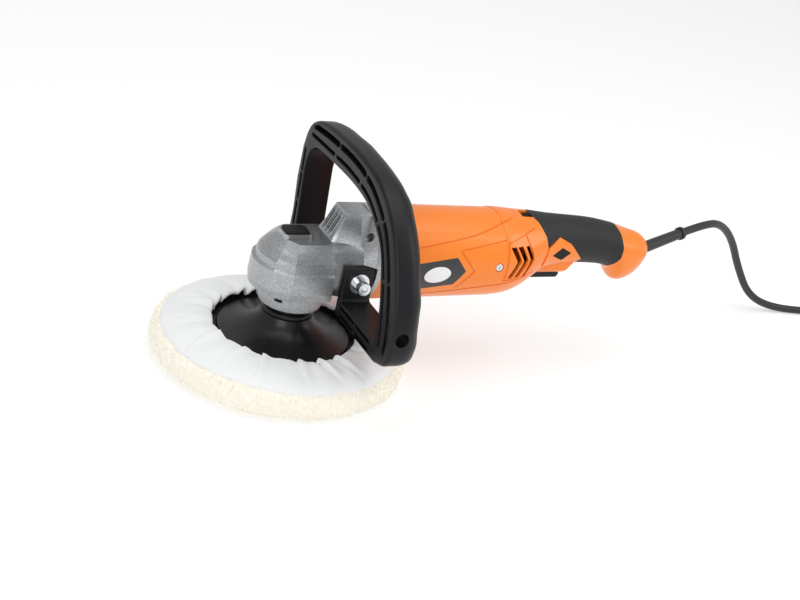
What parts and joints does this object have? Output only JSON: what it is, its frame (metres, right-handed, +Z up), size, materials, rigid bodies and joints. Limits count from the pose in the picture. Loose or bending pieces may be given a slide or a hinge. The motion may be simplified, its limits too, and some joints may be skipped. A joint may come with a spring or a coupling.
{
  "type": "rotary polisher",
  "caption": "Corded rotary car polisher with bevel-gear head, D-shaped front handle, orange motor body, rubber rear grip, backing pad and bonnet.",
  "frame": {"origin": "on the spindle's axis, at the bonnet's flat working face", "axes": "+X from the gear head to the tail of the grip, +Z up along the spindle away from the work, -Y the tool's left side"},
  "size_m": [0.8843, 0.2245, 0.1842],
  "materials": {
    "cast_alloy": "sand-textured die cast",
    "zinc_steel": "zinc plated",
    "bearing_steel": "ground",
    "gear_steel": "hardened",
    "black_plastic": "moulded",
    "lamination": "lacquered laminations",
    "copper": "enamelled copper",
    "carbon": "carbon",
    "orange_plastic": "moulded, satin gloss",
    "label_dark": "printed film",
    "badge_white": "domed",
    "grip_rubber": "soft overmould, dotted",
    "cord_rubber": "rubber sheath",
    "nickel": "nickel plated",
    "handle_plastic": "moulded, satin",
    "pad_rubber": "moulded",
    "wool": "sheared wool pile",
    "bonnet_cloth": "cotton twill"
  },
  "bodies": {
    "body": {"gear_case": "cast_alloy", "gear_case_screws": "zinc_steel", "bearing_cap": "cast_alloy", "bearing_cap_screws": "zinc_steel", "spindle_bearing": "bearing_steel", "spindle_top_bearing": "bearing_steel", "lock_spring": "bearing_steel", "front_armature_bearing": "bearing_steel", "rear_armature_bearing": "bearing_steel", "air_baffle": "black_plastic", "stator": "lamination", "field_coils": "copper", "brush_holders": "copper", "carbon_brushes": "carbon", "brush_springs": "bearing_steel", "motor_housing": "orange_plastic", "label_plates": "label_dark", "badges": "badge_white", "seam_screws": "zinc_steel", "left_rear_shell": "orange_plastic", "right_rear_shell": "orange_plastic", "left_grip_rubber": "grip_rubber", "right_grip_rubber": "grip_rubber", "shell_screws": "zinc_steel", "switch_body": "black_plastic", "trigger_spring": "bearing_steel", "speed_controller": "black_plastic", "cord_clamp": "black_plastic", "cord_clamp_screws": "zinc_steel", "cord_boot": "cord_rubber", "power_cord": "cord_rubber", "cord_coil": "cord_rubber", "plug_body": "cord_rubber", "plug_pins": "nickel", "plug_lead": "cord_rubber", "d_handle": "handle_plastic", "handle_washers": "zinc_steel", "handle_spring_washers": "zinc_steel", "handle_bolts": "zinc_steel", "spindle_seal": "pad_rubber"},
    "spindle_group": {"spindle": "bearing_steel", "crown_gear": "gear_steel", "lock_ring": "gear_steel", "pad_hub": "zinc_steel", "backing_pad": "pad_rubber", "bonnet_wool": "wool", "bonnet_cover": "bonnet_cloth", "hem_drawcord": "bonnet_cloth"},
    "armature_group": {"armature_shaft": "bearing_steel", "pinion_gear": "gear_steel", "cooling_fan": "black_plastic", "armature_core": "lamination", "armature_windings": "copper", "commutator": "copper"},
    "lock_button_group": {"spindle_lock_button": "black_plastic", "lock_pin": "bearing_steel"},
    "trigger": {"trigger": "black_plastic"},
    "lock_on_button": {"lock_on_button": "black_plastic"},
    "speed_dial": {"speed_dial": "black_plastic"}
  },
  "joints": [
    {"name": "spindle_spin", "type": "hinge", "parent": "body", "child": "spindle_group", "pos_m": [0, 0, 0.0953], "axis": [0, 0, 1], "continuous": true},
    {"name": "armature_spin", "type": "hinge", "parent": "body", "child": "armature_group", "pos_m": [0, 0, 0.0953], "axis": [1, 0, 0], "continuous": true},
    {"name": "lock_press", "type": "slide", "parent": "body", "child": "lock_button_group", "axis": [0, 0, -1], "range_m": [0, 0.004], "stiffness_N_per_m": 400, "springref_m": -0.001, "deforming": ["lock_spring"]},
    {"name": "trigger_press", "type": "slide", "parent": "body", "child": "trigger", "axis": [0, 0, 1], "range_m": [0, 0.0045], "stiffness_N_per_m": 600, "springref_m": -0.002, "deforming": ["trigger_spring"]},
    {"name": "lock_on_press", "type": "slide", "parent": "body", "child": "lock_on_button", "axis": [0, 1, 0], "range_m": [0, 0.0022], "stiffness_N_per_m": 300, "springref_m": -0.001},
    {"name": "dial_turn", "type": "hinge", "parent": "body", "child": "speed_dial", "pos_m": [0.193, -0.002, 0.1217], "axis": [0, 1, 0], "range_deg": [0, 270]}
  ],
  "couplings": [
    {"joint": "armature_spin", "follows": "spindle_spin", "ratio": 3.6}
  ]
}
